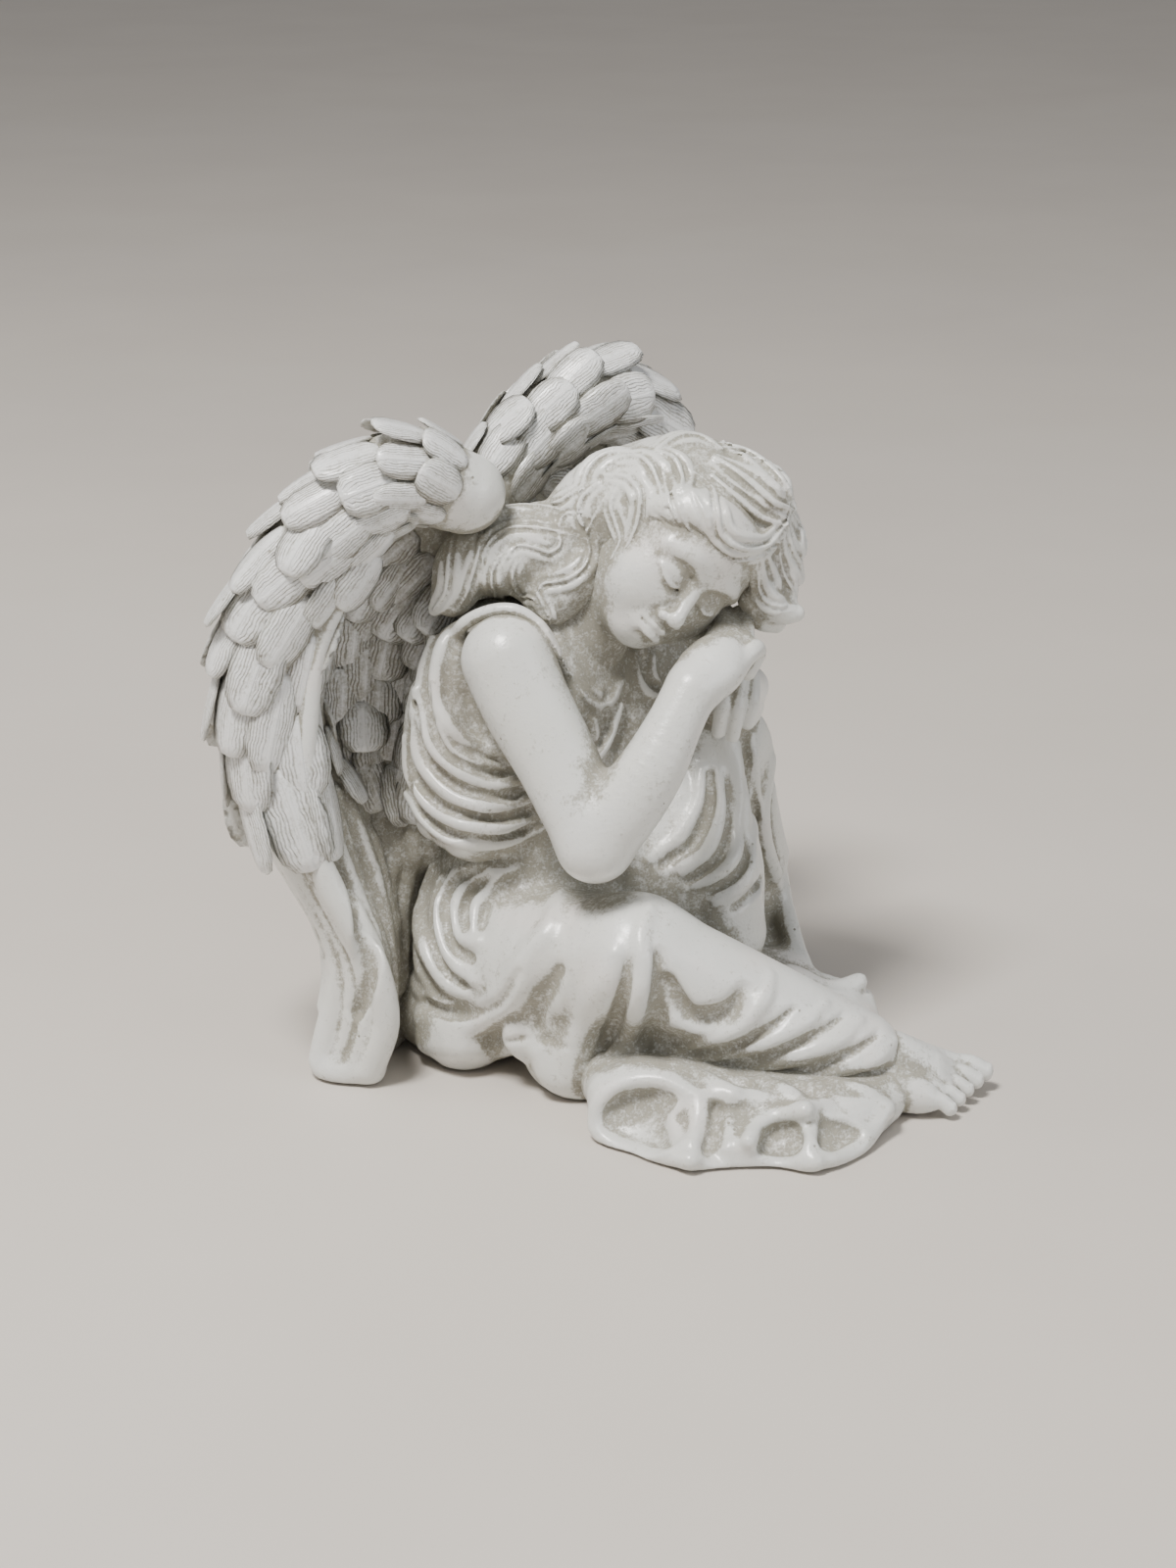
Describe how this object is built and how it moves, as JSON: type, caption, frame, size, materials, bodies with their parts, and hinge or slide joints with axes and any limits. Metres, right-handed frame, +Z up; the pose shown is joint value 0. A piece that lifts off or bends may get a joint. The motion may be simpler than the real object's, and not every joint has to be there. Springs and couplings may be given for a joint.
{
  "type": "angel figurine",
  "caption": "Seated angel in cream resin, head resting on a bent arm over a raised knee, with two large feathered wings.",
  "frame": {"origin": "on the flat underside, in the middle of the footprint", "axes": "+Z up; -Y is the front, from which the face, the bent arm and the ruffled hem are seen; +X runs towards the outstretched foot"},
  "size_m": [0.1452, 0.1109, 0.1292],
  "materials": {
    "cream_resin": "pearl cream paint with a grey-brown antique wash left in the hollows",
    "dowel_steel": "plain drawn wire"
  },
  "bodies": {
    "root": {"body_casting": "cream_resin", "head_casting": "cream_resin", "right_arm_casting": "cream_resin", "left_hand_casting": "cream_resin", "right_foot_casting": "cream_resin", "right_wing_casting": "cream_resin", "left_wing_casting": "cream_resin", "neck_dowel": "dowel_steel", "right_arm_dowel": "dowel_steel", "left_hand_dowel": "dowel_steel", "right_foot_dowel": "dowel_steel", "right_wing_upper_dowel": "dowel_steel", "right_wing_lower_dowel": "dowel_steel", "left_wing_upper_dowel": "dowel_steel", "left_wing_lower_dowel": "dowel_steel"}
  },
  "joints": []
}
